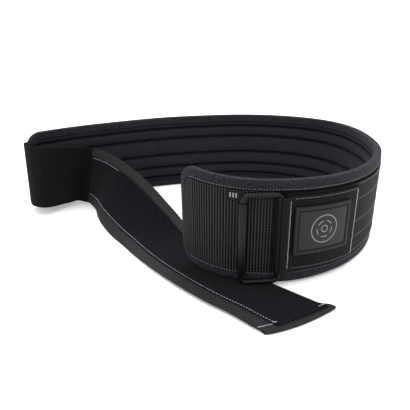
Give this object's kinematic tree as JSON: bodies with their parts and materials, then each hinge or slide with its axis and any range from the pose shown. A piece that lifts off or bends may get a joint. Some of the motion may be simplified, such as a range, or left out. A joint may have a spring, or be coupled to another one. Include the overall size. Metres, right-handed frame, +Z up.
{
  "type": "padded weightlifting belt with roller buckle",
  "caption": "Four-inch padded nylon weightlifting belt standing open in a loop, with a roller ring buckle and a loop-faced fastening strap on an elastic end.",
  "frame": {"origin": "middle of the footprint of the standing, open belt, on the surface it stands on", "axes": "+Z up along the belt's height; +X to the right and +Y away for someone who faces the buckle end; the strap's free end points towards -Y"},
  "size_m": [0.43, 0.4026, 0.1077],
  "materials": {
    "padded_lining": "soft napped knit over foam, stitched into channels",
    "outer_shell": "woven nylon",
    "edge_binding": "folded grosgrain tape with a slight fuzz",
    "ribbed_panel": "ribbed webbing",
    "outer_band": "wide woven webbing",
    "buckle_tab": "woven webbing, box stitched",
    "badge_patch": "satin moulded",
    "size_label": "plain woven",
    "buckle_ring": "satin black plating",
    "buckle_roller": "satin black plating",
    "elastic_panel": "ribbed elastic webbing",
    "fastening_strap": "fine woven webbing",
    "loop_tape": "loop side of a hook and loop tape"
  },
  "bodies": {
    "belt": {"padded_lining": "padded_lining", "outer_shell": "outer_shell", "edge_binding": "edge_binding", "ribbed_panel": "ribbed_panel", "outer_band": "outer_band", "buckle_tab": "buckle_tab", "badge_patch": "badge_patch", "size_label": "size_label", "elastic_panel": "elastic_panel", "fastening_strap": "fastening_strap", "loop_tape": "loop_tape"},
    "ring": {"buckle_ring": "buckle_ring"},
    "roller": {"buckle_roller": "buckle_roller"}
  },
  "joints": [
    {"name": "ring_swing", "type": "hinge", "parent": "belt", "child": "ring", "pos_m": [0.07915, -0.12413, 0.04942], "axis": [0, 0, 1], "range_deg": [0, 110]},
    {"name": "roller_spin", "type": "hinge", "parent": "ring", "child": "roller", "pos_m": [0.04535, -0.12778, 0.04942], "axis": [0, 0, 1], "continuous": true}
  ]
}
